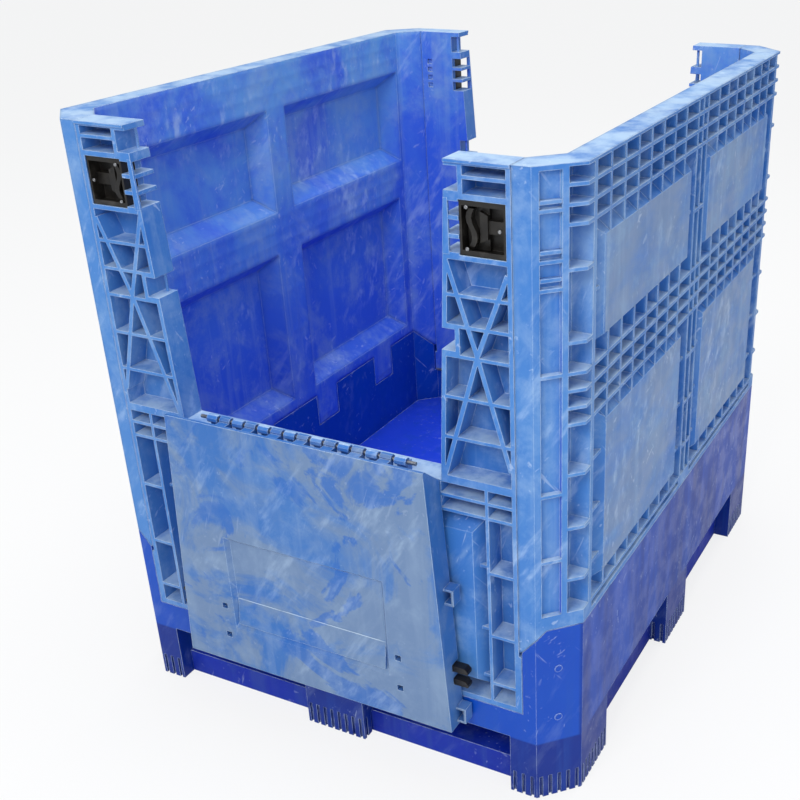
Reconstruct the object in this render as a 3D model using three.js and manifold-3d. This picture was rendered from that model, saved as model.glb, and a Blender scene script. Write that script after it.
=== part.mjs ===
// A collapsible bulk container: a moulded pallet base on nine feet, two long side walls, and two
// end walls that fold inwards, each with a drop door between two trussed posts.
// Millimetres, +Z up, origin on the ground under the middle of the base. The front is at -Y.

import * as THREE from "three";
import { mergeVertices } from "three/addons/utils/BufferGeometryUtils.js";
import Module from "manifold-3d";

const wasm = await Module();
wasm.setup();

// Overall sizes
const WIDTH = 1000; // across the end walls
const LENGTH = 1200; // along the side walls
const HEIGHT = 1165; // ground to the top of the walls
const CORNER = 62; // bevel down each upright corner
const WALL = 48; // depth of a wall with its ribs
const SKIN = 6; // moulded sheet that the ribs stand on
const RIB = 6; // an ordinary rib
const EDGE_RIB = 8; // a rib along the edge of a moulding
const FLANGE = 31; // front strip of a side wall, beside the end wall
const SEAM = 1; // gap between two mouldings that move past each other
const SEAT = 0.4; // gap between two pieces that rest on each other
const TOP_LIP = 5; // solid strip along the top of a wall

// Base
const FORK_TOP = 128; // underside of the tray
const FLOOR_TOP = 160;
const SIDE_RIM = 372; // top of the base under a side wall
const FRONT_RIM = 188; // top of the base under the front wall
const HINGE_STEP = 60; // the rear wall folds down on top of the front wall
const REAR_RIM = FRONT_RIM + HINGE_STEP;
const SHOULDER_DROP = 49; // fall of the slope on top of a corner column
const COLUMN_STEP = 5; // the corner column starts this far outside the end wall's upper edge

// Feet and skid frame
const FOOT_X = 115; // a corner foot across the container
const FOOT_Y = 185; // a corner foot along it
const MID_FOOT = 132; // the free width of a middle foot
const FOOT_RIB_TOP = 48;
const GROOVE_PITCH = 15;
const GROOVE_WIDTH = 6;
const GROOVE_DEPTH = 5;
const SKID_INSET_X = 36; // skid face behind the foot face
const SKID_INSET_Y = 30;
const SKID_WIDTH = 60;
const SKID_HEIGHT = 52;

// Side wall pattern, measured from the middle of the wall and from its edges
const STRIP_HALF = 28; // half of the upright strip in the middle
const STRIP_CELL = 69; // first cell beside the strip
const COLUMN_FACE = 29.4; // flat of a corner column, from the last upright rib to the bevel
const CELLS_EACH_SIDE = 8;
const ROW_PITCH = 29;
const BAND_ROWS = 3;
const MID_BAND_DROP = 323; // upper rib of the band between the pads, below the top
const FOOT_RIB = 25; // rib above the slot along the bottom of the wall
const PAD_TOP_RAMP = 35;
const PAD_SIDE_RAMP = 29;
const PAD_LOW_RAMP = 32;
const UPPER_PAD_INSET = 37; // end of the upper pad from the last upright rib
const LOWER_PAD_INSET = 57;
const LOWER_TIES = [0.25, 0.53, 0.81]; // cross ribs beside the lower pad, as shares of its field
const BEVEL_TIES = [0.31, 0.66];

// Side wall hinge
const TAB_WIDTH = 86;
const TAB_DROP = 78;
const TAB_DEPTH = 16;
const TAB_PITCH = 260;
const TAB_COUNT = 4;
const TAB_SHIFT = 45; // the two side walls are one moulding turned round, so the tabs are off centre
const ROD_RADIUS = 3.5;
const BORE_RADIUS = 4.3;

// End wall hinge
const HINGE_OUT = 4; // hinge line in front of the wall's inner face
const HINGE_RISE = 2; // hinge line above the rim
const KNUCKLE_RADIUS = 8;
const KNUCKLE_GAP = 1.5;
const END_KNUCKLE_PITCH = 190;
const END_KNUCKLES = 4;
const END_KNUCKLE_WIDTH = 50;
const BASE_KNUCKLE_WIDTH = 30;

// End wall and door opening
const SILL = 632; // lower edge of the door opening
const POST_FOOT_WIDTH = 137; // a post at the sill
const POST_TOP_WIDTH = 107;
const TRUSS_FOOT = 12; // top of the sill rib above the sill
const NOTCH_DEPTH = 24;
const NOTCH_HEIGHT = 36;
const NOTCH_DROPS = [10, 262]; // top of each notch below the top of the post
const NOTCH_PIN_RADIUS = 3;
const TRUSS_CROSS = 62; // where the struts meet, from the post's outer edge
const TRUSS_LEDGES = 5;
const MULLION_INSET = 54; // upright rib beside the lower panel, from the same edge
const PILLOW_GAP = 12; // half of the rib between the two lower panels

// Door
const DOOR_GAP = 4;
const DOOR_TOP_DROP = 5;
const DOOR_AXIS_RISE = 20; // hinge line above the sill
const DOOR_AXIS_OUT = 2; // hinge line in front of the outer face
const DOOR_KNUCKLE_PITCH = 56;
const DOOR_KNUCKLES = 8;
const DOOR_KNUCKLE_WIDTH = 22;
const DOOR_CHAMFER = 35;
const PANEL_HALF = 172; // shallow panel in the door's inner face
const PANEL_DROPS = [88, 291]; // its two edges below the door's upper edge
const PANEL_DEPTH = 8;
const BOSS_OUT = 21;
const BOSS_DEPTH = 24;
const BOSS_WALL = 4;
const SQUARE_HOLE = 12;
const SQUARE_HOLE_OUT = 20; // beside the shallow panel
const SQUARE_HOLE_DROPS = [66, 133];

// Latches
const POCKET_DROP = 58; // top of the latch's pocket below the top of the post
const POCKET_HEIGHT = 84;
const POCKET_DEPTH = 34;
const INNER_SLOTS = 4;
const INNER_SLOT_WIDTH = 13;
const INNER_SLOT_OUT = 22; // from the post's outer edge to the middle of the slots
const COMB_OUT = 12; // the comb's slots start this far from the opening
const COMB_WIDTH = 15;
const COMB_TOOTH = 7;
const TRAY_WALL = 4;
const TRAY_FLOOR = 6;
const BOLT_HEIGHT = 20;
const BOLT_DEPTH = 10;
const BOLT_TRAVEL = 20;
const SLIDER_WIDTH = 36;
const PRONG_HEIGHT = 12;
const PRONG_OUT = 28;
const PRONG_TRAVEL = 24;
const PRONG_DEPTH = 16;
const CATCH_BODY = 30;

// Sizes that follow
const HALF_X = WIDTH / 2;
const HALF_Y = LENGTH / 2;
const INNER_X = HALF_X - WALL;
const INNER_Y = HALF_Y - WALL;
const END_HALF = HALF_X - CORNER - FLANGE;
const POST_EDGE = END_HALF - SEAM;
const COLUMN_EDGE = END_HALF + COLUMN_STEP;
const INNER_CORNER = INNER_X - END_HALF;
const SHOULDER_LOW = SIDE_RIM - SHOULDER_DROP;
const SHOULDER_X = INNER_X;
const OPEN_SILL_HALF = POST_EDGE - POST_FOOT_WIDTH;
const OPEN_TOP_HALF = POST_EDGE - POST_TOP_WIDTH;
const POCKET_HIGH = HEIGHT - POCKET_DROP;
const POCKET_LOW = POCKET_HIGH - POCKET_HEIGHT;
const MID_BAND_TOP = HEIGHT - MID_BAND_DROP;
const MULLION = POST_EDGE - MULLION_INSET;
const NOTCHES = NOTCH_DROPS.map((drop) => ({ low: HEIGHT - drop - NOTCH_HEIGHT, high: HEIGHT - drop }));
const OUTSIDE = 5; // how far a cutting shape reaches past a face

const colours = {
  base: 0x2f5fc0,
  wall: 0x6b96d2,
  door: 0x7d9cc8,
  latch: 0x241f1c,
  rod: 0x8c9096,
  skid: 0x2448a8,
};

// Shapes

function solid(geometry) {
  const bare = geometry.index ? geometry.toNonIndexed() : geometry.clone();
  bare.deleteAttribute("normal");
  bare.deleteAttribute("uv");
  const merged = mergeVertices(bare, 1e-4);
  return new wasm.Manifold(
    new wasm.Mesh({
      numProp: 3,
      vertProperties: merged.attributes.position.array,
      triVerts: new Uint32Array(merged.index.array),
    }),
  );
}

function box(x, y, z) {
  const geometry = new THREE.BoxGeometry(x[1] - x[0], y[1] - y[0], z[1] - z[0]);
  geometry.translate((x[0] + x[1]) / 2, (y[0] + y[1]) / 2, (z[0] + z[1]) / 2);
  return solid(geometry);
}

// Points (x, y) raised along z, (y, z) along x, or (x, z) along y.
function prism(points, axis, from, to) {
  const flat = axis === "y" ? points.map(([x, z]) => [z, x]) : points;
  const shape = new THREE.Shape(flat.map(([u, v]) => new THREE.Vector2(u, v)));
  const geometry = new THREE.ExtrudeGeometry(shape, { depth: to - from, bevelEnabled: false });
  geometry.translate(0, 0, from);
  const x = new THREE.Vector3(1, 0, 0);
  const y = new THREE.Vector3(0, 1, 0);
  const z = new THREE.Vector3(0, 0, 1);
  const turn = new THREE.Matrix4();
  if (axis === "x") turn.makeBasis(y, z, x);
  if (axis === "y") turn.makeBasis(z, x, y);
  geometry.applyMatrix4(turn);
  return solid(geometry);
}

function rod(axis, radius, from, to, a, b, sides = 8) {
  const geometry = new THREE.CylinderGeometry(radius, radius, to - from, sides);
  geometry.rotateY(Math.PI / sides);
  const middle = (from + to) / 2;
  if (axis === "x") {
    geometry.rotateZ(Math.PI / 2);
    geometry.translate(middle, a, b);
  } else if (axis === "y") {
    geometry.translate(a, middle, b);
  } else {
    geometry.rotateX(Math.PI / 2);
    geometry.translate(a, b, middle);
  }
  return solid(geometry);
}

// A tapered block between two rectangles that lie at two depths.
function taper(toPoint, near, nearDepth, far, farDepth) {
  const corners = ({ u, v }) => [
    [u[0], v[0]],
    [u[1], v[0]],
    [u[1], v[1]],
    [u[0], v[1]],
  ];
  const vertices = [
    ...corners(near).map(([u, v]) => toPoint(nearDepth, u, v)),
    ...corners(far).map(([u, v]) => toPoint(farDepth, u, v)),
  ];
  const quads = [
    [3, 2, 1, 0],
    [4, 5, 6, 7],
    [0, 1, 5, 4],
    [1, 2, 6, 5],
    [2, 3, 7, 6],
    [3, 0, 4, 7],
  ];
  const triangles = quads.flatMap(([a, b, c, d]) => [a, b, c, a, c, d]);
  const volume = triangles.reduce((sum, _, i) => {
    if (i % 3) return sum;
    const [a, b, c] = [0, 1, 2].map((k) => new THREE.Vector3(...vertices[triangles[i + k]]));
    return sum + a.dot(b.cross(c));
  }, 0);
  if (volume < 0) triangles.reverse();
  return new wasm.Manifold(
    new wasm.Mesh({
      numProp: 3,
      vertProperties: new Float32Array(vertices.flat()),
      triVerts: new Uint32Array(triangles),
    }),
  );
}

const join = (parts) => parts.reduce((whole, part) => whole.add(part));
const grow = ({ u, v }, left, right, low, high) => ({
  u: [u[0] - left, u[1] + right],
  v: [v[0] - low, v[1] + high],
});

function mesh(name, body, colour, roughness = 0.55, metalness = 0) {
  const { vertProperties, triVerts } = body.getMesh();
  const geometry = new THREE.BufferGeometry();
  geometry.setAttribute("position", new THREE.BufferAttribute(vertProperties, 3));
  geometry.setIndex(new THREE.BufferAttribute(triVerts, 1));
  geometry.computeVertexNormals();
  const material = new THREE.MeshStandardMaterial({ color: colour, roughness, metalness });
  const made = new THREE.Mesh(geometry, material);
  made.name = name;
  return made;
}

function bevelled(halfX, halfY, corner) {
  return [
    [-halfX + corner, -halfY],
    [halfX - corner, -halfY],
    [halfX, -halfY + corner],
    [halfX, halfY - corner],
    [halfX - corner, halfY],
    [-halfX + corner, halfY],
    [-halfX, halfY - corner],
    [-halfX, -halfY + corner],
  ];
}

// Base

const feet = [-1, 0, 1].flatMap((i) =>
  [-1, 0, 1].map((j) => ({
    i,
    j,
    x: i ? (i < 0 ? [-HALF_X, -HALF_X + FOOT_X] : [HALF_X - FOOT_X, HALF_X]) : [-MID_FOOT / 2, MID_FOOT / 2],
    y: j ? (j < 0 ? [-HALF_Y, -HALF_Y + FOOT_Y] : [HALF_Y - FOOT_Y, HALF_Y]) : [-MID_FOOT / 2, MID_FOOT / 2],
  })),
);

// Upright grooves along the edge from p to q, cut into the foot of the moulding.
function grooves(p, q) {
  const run = Math.hypot(q[0] - p[0], q[1] - p[1]);
  const count = Math.floor(run / GROOVE_PITCH);
  const cuts = [];
  for (let k = 0; k < count; k += 1) {
    const t = (k + 0.5) / count;
    const geometry = new THREE.BoxGeometry(GROOVE_WIDTH, 2 * GROOVE_DEPTH, FOOT_RIB_TOP + OUTSIDE);
    geometry.rotateZ(Math.atan2(q[1] - p[1], q[0] - p[0]));
    geometry.translate(
      p[0] + (q[0] - p[0]) * t,
      p[1] + (q[1] - p[1]) * t,
      (FOOT_RIB_TOP - OUTSIDE) / 2,
    );
    cuts.push(solid(geometry));
  }
  return cuts;
}

function footGrooves({ i, j, x, y }) {
  if (i && j) {
    const outerX = i * HALF_X;
    const outerY = j * HALF_Y;
    return [
      ...grooves([outerX - i * FOOT_X, outerY], [outerX - i * CORNER, outerY]),
      ...grooves([outerX - i * CORNER, outerY], [outerX, outerY - j * CORNER]),
      ...grooves([outerX, outerY - j * CORNER], [outerX, outerY - j * FOOT_Y]),
    ];
  }
  if (j) {
    const outer = j * HALF_Y;
    const back = outer - j * FOOT_X / 2;
    return [
      ...grooves([x[0], outer], [x[1], outer]),
      ...x.flatMap((edge) => grooves([edge, outer], [edge, back])),
    ];
  }
  if (i) {
    const outer = i * HALF_X;
    const back = outer - i * FOOT_X / 2;
    return [
      ...grooves([outer, y[0]], [outer, y[1]]),
      ...y.flatMap((edge) => grooves([outer, edge], [back, edge])),
    ];
  }
  return [];
}

function skidFrame(clearance) {
  const outerX = HALF_X - SKID_INSET_X + clearance;
  const outerY = HALF_Y - SKID_INSET_Y + clearance;
  const inner = SKID_WIDTH + 2 * clearance;
  const bar = SKID_WIDTH / 2 + clearance;
  const floor = clearance ? -OUTSIDE : 0;
  const windows = [-1, 1].map((side) => {
    const edges = [side * bar, side * (outerX - inner)].sort((a, b) => a - b);
    return box(edges, [-outerY + inner, outerY - inner], [-2 * OUTSIDE, SKID_HEIGHT + 2 * OUTSIDE]);
  });
  return box([-outerX, outerX], [-outerY, outerY], [floor, SKID_HEIGHT + clearance]).subtract(
    join(windows),
  );
}

// The rim of one end, from the fork opening to the shoulders of the corner columns.
function endGap(side, rim) {
  const profile = [
    [-COLUMN_EDGE, rim],
    [COLUMN_EDGE, rim],
    [COLUMN_EDGE, SHOULDER_LOW],
    [SHOULDER_X, SIDE_RIM],
    [SHOULDER_X, SIDE_RIM + OUTSIDE],
    [-SHOULDER_X, SIDE_RIM + OUTSIDE],
    [-SHOULDER_X, SIDE_RIM],
    [-COLUMN_EDGE, SHOULDER_LOW],
  ];
  const ends = [side * (INNER_Y - INNER_CORNER), side * (HALF_Y + OUTSIDE)].sort((a, b) => a - b);
  return prism(profile, "y", ends[0], ends[1]);
}

// Hinge line of an end wall, as (y, z).
const hingeLine = (side, rim) => [side * (INNER_Y - HINGE_OUT), rim + HINGE_RISE];
const endKnuckles = () =>
  Array.from({ length: END_KNUCKLES }, (_, k) => (k - (END_KNUCKLES - 1) / 2) * END_KNUCKLE_PITCH);
const baseKnuckleOffset = (END_KNUCKLE_WIDTH + BASE_KNUCKLE_WIDTH) / 2 + KNUCKLE_GAP;

function baseKnuckles(side, rim) {
  const [y, z] = hingeLine(side, rim);
  return endKnuckles().flatMap((middle) =>
    [-1, 1].map((hand) => {
      const x = middle + hand * baseKnuckleOffset;
      const ends = [x - BASE_KNUCKLE_WIDTH / 2, x + BASE_KNUCKLE_WIDTH / 2];
      const back = side * (INNER_Y + HINGE_OUT);
      const web = [Math.min(y, back), Math.max(y, back)];
      return rod("x", KNUCKLE_RADIUS, ends[0], ends[1], y, z).add(box(ends, web, [FLOOR_TOP - 2, z]));
    }),
  );
}

// Room in the base or in the end wall for the other piece's knuckles.
function knuckleRoom(side, rim, ofBase) {
  const [y, z] = hingeLine(side, rim);
  const reach = KNUCKLE_RADIUS + KNUCKLE_GAP;
  const inner = side * (INNER_Y - 2 * HINGE_OUT);
  return endKnuckles().flatMap((middle) =>
    (ofBase ? [0] : [-1, 1]).map((hand) => {
      const x = middle + hand * baseKnuckleOffset;
      const half = (ofBase ? END_KNUCKLE_WIDTH : BASE_KNUCKLE_WIDTH) / 2 + KNUCKLE_GAP;
      const outer = y + side * reach;
      const depth = [Math.min(inner, outer), Math.max(inner, outer)];
      return box([x - half, x + half], depth, ofBase ? [z - reach, rim + 1] : [rim, z + reach]);
    }),
  );
}

function tabCentres() {
  return Array.from({ length: TAB_COUNT }, (_, k) => TAB_SHIFT + (k - (TAB_COUNT - 1) / 2) * TAB_PITCH);
}

const tabFloor = SIDE_RIM - TAB_DROP;
const sideAxis = { x: INNER_X + TAB_DEPTH / 2, z: tabFloor + TAB_DEPTH / 2 + 2 };
const sideRodHalf = TAB_SHIFT + (TAB_COUNT / 2) * TAB_PITCH - TAB_WIDTH;

function sideRod(hand, radius, half) {
  return rod("y", radius, -half, half, hand * sideAxis.x, sideAxis.z);
}

function makeBase() {
  let body = prism(bevelled(HALF_X, HALF_Y, CORNER), "z", FORK_TOP, SIDE_RIM);
  body = body.subtract(
    prism(bevelled(INNER_X, INNER_Y, INNER_CORNER), "z", FLOOR_TOP, SIDE_RIM + OUTSIDE),
  );
  body = body.subtract(endGap(-1, FRONT_RIM)).subtract(endGap(1, REAR_RIM));

  const outline = prism(bevelled(HALF_X, HALF_Y, CORNER), "z", 0, FORK_TOP + 1);
  const legs = join(feet.map(({ x, y }) => box(x, y, [0, FORK_TOP + 1]))).intersect(outline);
  body = body.add(legs);

  // A foot is a shell that is open below, round the skid.
  const wallOfFoot = 2.5 * SKIN;
  const hollows = feet.map(({ x, y }) =>
    box(
      [x[0] + wallOfFoot + 2 * CORNER * 0.2, x[1] - wallOfFoot - 2 * CORNER * 0.2],
      [y[0] + wallOfFoot + 2 * CORNER * 0.2, y[1] - wallOfFoot - 2 * CORNER * 0.2],
      [-OUTSIDE, FORK_TOP - SKIN],
    ),
  );

  // Shallow cells under the floor, and deep ones up inside the side rims, between the feet.
  const between = { x: [MID_FOOT / 2 + RIB, HALF_X - FOOT_X - RIB], y: [MID_FOOT / 2 + RIB, HALF_Y - FOOT_Y - RIB] };
  const cells = [];
  for (const sx of [-1, 1]) {
    const columns = split(between.x[0], between.x[1], 2, RIB);
    const rows = split(-HALF_Y + WALL, HALF_Y - WALL, 6, RIB);
    for (const [a, b] of columns) {
      const x = [sx * a, sx * b].sort((p, q) => p - q);
      for (const y of rows) cells.push(box(x, y, [FORK_TOP - OUTSIDE, FLOOR_TOP - SKIN]));
    }
    for (const sy of [-1, 1]) {
      for (const [a, b] of split(between.y[0], between.y[1], 3, RIB)) {
        const y = [sy * a, sy * b].sort((p, q) => p - q);
        const x = [sx * (INNER_X + TAB_DEPTH + SKIN), sx * (HALF_X - SKIN)].sort((p, q) => p - q);
        cells.push(box(x, y, [FORK_TOP - OUTSIDE, SIDE_RIM - EDGE_RIB]));
      }
    }
  }
  body = body.subtract(join([...hollows, ...cells]));
  body = body.subtract(skidFrame(SEAT)).subtract(join(feet.flatMap(footGrooves)));

  // Hinges of the side walls: a slot for each tab, and a bore through the rim between them.
  const slots = [-1, 1].flatMap((hand) =>
    tabCentres().map((middle) => {
      const x = [hand * (INNER_X - OUTSIDE), hand * (INNER_X + TAB_DEPTH + SEAT)].sort((a, b) => a - b);
      const y = [hand * middle - TAB_WIDTH / 2 - SEAM, hand * middle + TAB_WIDTH / 2 + SEAM];
      return box(x, y, [tabFloor - SEAM, SIDE_RIM + OUTSIDE]);
    }),
  );
  const bores = [-1, 1].map((hand) => sideRod(hand, BORE_RADIUS, sideRodHalf + SEAM));
  body = body.subtract(join([...slots, ...bores]));

  // Hinges of the end walls.
  for (const [side, rim] of [[-1, FRONT_RIM], [1, REAR_RIM]]) {
    const [y, z] = hingeLine(side, rim);
    body = body.subtract(join(knuckleRoom(side, rim, true)));
    body = body.add(join(baseKnuckles(side, rim)));
    body = body.subtract(rod("x", BORE_RADIUS, -END_HALF, END_HALF, y, z));
  }
  return body;
}

// Equal cells between two edges, with a rib between neighbours.
function split(from, to, count, rib) {
  const pitch = (to - from + rib) / count;
  return Array.from({ length: count }, (_, k) => [from + k * pitch, from + (k + 1) * pitch - rib]);
}

// Side wall, as it stands at +X

const lastUpright = HALF_Y - CORNER - COLUMN_FACE;
const firstUpright = STRIP_HALF + STRIP_CELL;
const cellEdges = [
  STRIP_HALF,
  ...Array.from(
    { length: CELLS_EACH_SIDE },
    (_, k) => firstUpright + (k * (lastUpright - firstUpright)) / (CELLS_EACH_SIDE - 1),
  ),
];
const topBandLow = HEIGHT - TOP_LIP + RIB / 2 - BAND_ROWS * ROW_PITCH;
const midBandLow = MID_BAND_TOP - BAND_ROWS * ROW_PITCH;
const wallFoot = SIDE_RIM + SEAM;
const footRibZ = wallFoot + FOOT_RIB;
const outward = (depth, y, z) => [HALF_X - depth, y, z];
const cutFace = HALF_X + OUTSIDE;

// A rectangle of cells that leaves ribs standing between the given lines.
function cellGrid(yLines, zLines, rib, depth) {
  const cuts = [];
  for (let a = 0; a + 1 < yLines.length; a += 1) {
    for (let b = 0; b + 1 < zLines.length; b += 1) {
      const y = [yLines[a] + rib / 2, yLines[a + 1] - rib / 2];
      const z = [zLines[b] + rib / 2, zLines[b + 1] - rib / 2];
      cuts.push(box([HALF_X - depth, cutFace], y, z));
    }
  }
  return cuts;
}

function mirrored(lines) {
  return [...lines.map((v) => -v).reverse(), ...lines];
}

// The sunk field round one raised pad: the pad tapers down to the sheet on all sides, and upright
// ribs run out over its upper and lower slopes.
function padField(hand, pad, fieldLow, fieldHigh) {
  const deep = WALL - SKIN;
  const y = hand > 0 ? pad.y : [-pad.y[1], -pad.y[0]];
  const near = { u: y, v: pad.z };
  const far = grow(near, PAD_SIDE_RAMP, PAD_SIDE_RAMP, PAD_LOW_RAMP, PAD_TOP_RAMP);
  const edges = [STRIP_HALF + RIB / 2, lastUpright - RIB / 2];
  const field = hand > 0 ? edges : [-edges[1], -edges[0]];
  const stay = [taper(outward, near, 0, far, deep)];
  for (const line of cellEdges.slice(1, -1)) {
    const rib = [hand * line - RIB / 2, hand * line + RIB / 2];
    stay.push(box([HALF_X - deep, HALF_X], rib, [pad.z[1] - RIB, fieldHigh]));
    stay.push(box([HALF_X - deep, HALF_X], rib, [fieldLow, pad.z[0] + RIB]));
  }
  for (const z of pad.ties) {
    const tie = [z - RIB / 2, z + RIB / 2];
    stay.push(box([HALF_X - deep, HALF_X - deep / 6], field, tie));
  }
  return box([HALF_X - deep, HALF_X], field, [fieldLow, fieldHigh]).subtract(join(stay));
}

function padRecess(hand, pad) {
  const y = hand > 0 ? pad.y : [-pad.y[1], -pad.y[0]];
  const near = grow({ u: y, v: pad.z }, -SKIN / 2, -SKIN / 2, -SKIN / 2, -SKIN / 2);
  const run = (WALL - SKIN) / (WALL - 2 * SKIN + SKIN);
  const far = grow(
    near,
    PAD_SIDE_RAMP * run,
    PAD_SIDE_RAMP * run,
    PAD_LOW_RAMP * run,
    PAD_TOP_RAMP * run,
  );
  return taper(outward, near, SKIN, far, WALL + SKIN * 0.01);
}

// Plan of the corner column's outer pocket, round the edge between bevel and side.
function cornerPocketPlan(end) {
  const back = 30; // along the bevel from the edge
  const along = back / Math.SQRT2;
  const depth = WALL * 0.75;
  const corner = HALF_Y - CORNER;
  const points = [
    [HALF_X - along + OUTSIDE, corner + along + OUTSIDE],
    [HALF_X + OUTSIDE, corner + OUTSIDE],
    [HALF_X + OUTSIDE, lastUpright + EDGE_RIB],
    [HALF_X - depth, lastUpright + EDGE_RIB],
    [HALF_X - depth, corner - EDGE_RIB],
    [HALF_X - along - depth / 3, corner + along - depth / 3],
  ];
  return points.map(([x, y]) => [x, end * y]);
}

function bevelPanelPlan(end) {
  const from = 12;
  const to = 47;
  const depth = 9;
  const start = [HALF_X - CORNER, HALF_Y];
  const at = (run, sink) => [
    start[0] + (run - sink) / Math.SQRT2,
    end * (start[1] - (run + sink) / Math.SQRT2),
  ];
  return [at(from, -OUTSIDE), at(to, -OUTSIDE), at(to, depth), at(from, depth)];
}

function levels(lines, rib) {
  return lines.slice(0, -1).map((low, k) => [low + rib / 2, lines[k + 1] - rib / 2]);
}

function makeSideWall() {
  const plan = [
    [END_HALF, -HALF_Y],
    [HALF_X - CORNER, -HALF_Y],
    [HALF_X, -HALF_Y + CORNER],
    [HALF_X, HALF_Y - CORNER],
    [HALF_X - CORNER, HALF_Y],
    [END_HALF, HALF_Y],
    [END_HALF, INNER_Y],
    [INNER_X, INNER_Y - INNER_CORNER],
    [INNER_X, -INNER_Y + INNER_CORNER],
    [END_HALF, -INNER_Y],
  ];
  let body = prism(plan, "z", SHOULDER_LOW + SEAM, HEIGHT);
  const belowShoulder = [
    [COLUMN_EDGE, 0],
    [COLUMN_EDGE, SHOULDER_LOW + SEAM],
    [SHOULDER_X, wallFoot],
    [HALF_X + OUTSIDE, wallFoot],
    [HALF_X + OUTSIDE, 0],
  ];
  body = body.subtract(prism(belowShoulder, "y", -HALF_Y - OUTSIDE, HALF_Y + OUTSIDE));

  const deep = WALL - SKIN;
  const uprights = [...mirrored(cellEdges).slice(0, CELLS_EACH_SIDE + 1), 0, ...cellEdges];
  const topLines = Array.from({ length: BAND_ROWS + 1 }, (_, k) => topBandLow + k * ROW_PITCH);
  const midLines = Array.from({ length: BAND_ROWS + 1 }, (_, k) => midBandLow + k * ROW_PITCH);
  body = body.subtract(join(cellGrid(uprights, topLines, RIB, deep)));
  body = body.subtract(join(cellGrid(uprights, midLines, RIB, deep)));

  const pads = [
    {
      y: [STRIP_HALF + PAD_SIDE_RAMP, lastUpright - UPPER_PAD_INSET],
      z: [MID_BAND_TOP + PAD_LOW_RAMP + RIB, topBandLow - PAD_TOP_RAMP],
      low: MID_BAND_TOP + RIB / 2,
      high: topBandLow - RIB / 2,
      ties: [MID_BAND_TOP + 4 * ROW_PITCH],
    },
    {
      y: [STRIP_HALF + PAD_SIDE_RAMP + SKIN * 2, lastUpright - LOWER_PAD_INSET],
      z: [footRibZ + RIB / 2 + ROW_PITCH, midBandLow - PAD_TOP_RAMP + SKIN],
      low: footRibZ + RIB / 2,
      high: midBandLow - RIB / 2,
      ties: LOWER_TIES.map((share) => midBandLow - share * (midBandLow - footRibZ)),
    },
  ];
  for (const pad of pads) {
    for (const hand of [-1, 1]) {
      body = body.subtract(padField(hand, pad, pad.low, pad.high));
      body = body.subtract(padRecess(hand, pad));
    }
    const stripLines = [pad.low - RIB / 2, ...[...pad.ties].reverse(), pad.high + RIB / 2];
    body = body.subtract(join(cellGrid([-STRIP_HALF, 0, STRIP_HALF], stripLines, RIB, deep)));
  }
  const slot = [wallFoot + RIB + EDGE_RIB / 2, footRibZ - RIB / 2];
  for (const y of [[-lastUpright, -STRIP_HALF], [STRIP_HALF, lastUpright]]) {
    body = body.subtract(box([HALF_X - deep / 2, cutFace], [y[0] + RIB, y[1] - RIB], slot));
  }

  // The corner columns.
  const outerLines = [
    footRibZ,
    ...[...pads[1].ties].reverse(),
    ...midLines,
    MID_BAND_TOP + 1.75 * ROW_PITCH,
    topBandLow - 2.35 * ROW_PITCH,
    ...topLines,
  ];
  const bevelLines = [
    footRibZ,
    ...BEVEL_TIES.map((share) => footRibZ + share * (midBandLow - footRibZ)),
    MID_BAND_TOP,
    topBandLow - 3.3 * ROW_PITCH,
    topBandLow - 1.8 * ROW_PITCH,
    topBandLow + 0.8 * ROW_PITCH,
    HEIGHT - TOP_LIP,
  ];
  for (const end of [-1, 1]) {
    const pockets = levels(outerLines, RIB).map(([a, b]) => prism(cornerPocketPlan(end), "z", a, b));
    const panels = levels(bevelLines, RIB).map(([a, b]) => prism(bevelPanelPlan(end), "z", a, b));
    body = body.subtract(join([...pockets, ...panels]));
  }

  // Sockets for the bolts of the end walls' latches.
  const bolt = boltBox(SEAM);
  for (const end of [-1, 1]) {
    const depth = [end * bolt.y[0], end * bolt.y[1]].sort((a, b) => a - b);
    body = body.subtract(box([END_HALF - OUTSIDE, END_HALF + BOLT_TRAVEL + SEAM], depth, bolt.z));
  }

  // Hinge tabs.
  for (const middle of tabCentres()) {
    const y = [middle - TAB_WIDTH / 2, middle + TAB_WIDTH / 2];
    body = body.add(box([INNER_X, INNER_X + TAB_DEPTH], y, [tabFloor, wallFoot + EDGE_RIB]));
  }
  return body.subtract(sideRod(1, BORE_RADIUS, HALF_Y - CORNER));
}

// End wall, as it stands at -Y

const front = -HALF_Y;
const innerFace = -INNER_Y;
const pocketMiddle = (POCKET_LOW + POCKET_HIGH) / 2;
const openingHalf = (z) =>
  OPEN_SILL_HALF + ((OPEN_TOP_HALF - OPEN_SILL_HALF) * (z - SILL)) / (HEIGHT - SILL);
const combStart = openingHalf(pocketMiddle) + COMB_OUT;
const trayEdges = { x: [combStart + COMB_WIDTH, POST_EDGE - EDGE_RIB - 1], z: [POCKET_LOW + SEAT, POCKET_HIGH - SEAT] };
const trayBack = front + POCKET_DEPTH - SEAT;
const trayFloor = trayBack - TRAY_FLOOR;

// The bolt's place at rest, drawn back level with the end of the wall, as positive y behind the face.
function boltBox(clearance) {
  const z = [pocketMiddle - BOLT_HEIGHT / 2 - clearance, pocketMiddle + BOLT_HEIGHT / 2 + clearance];
  const inner = -(trayFloor - SEAT - clearance - BOLT_DEPTH / 2);
  return { y: [inner - BOLT_DEPTH / 2 - 2 * clearance + clearance, inner + BOLT_DEPTH / 2 + 2 * clearance], z };
}

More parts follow.
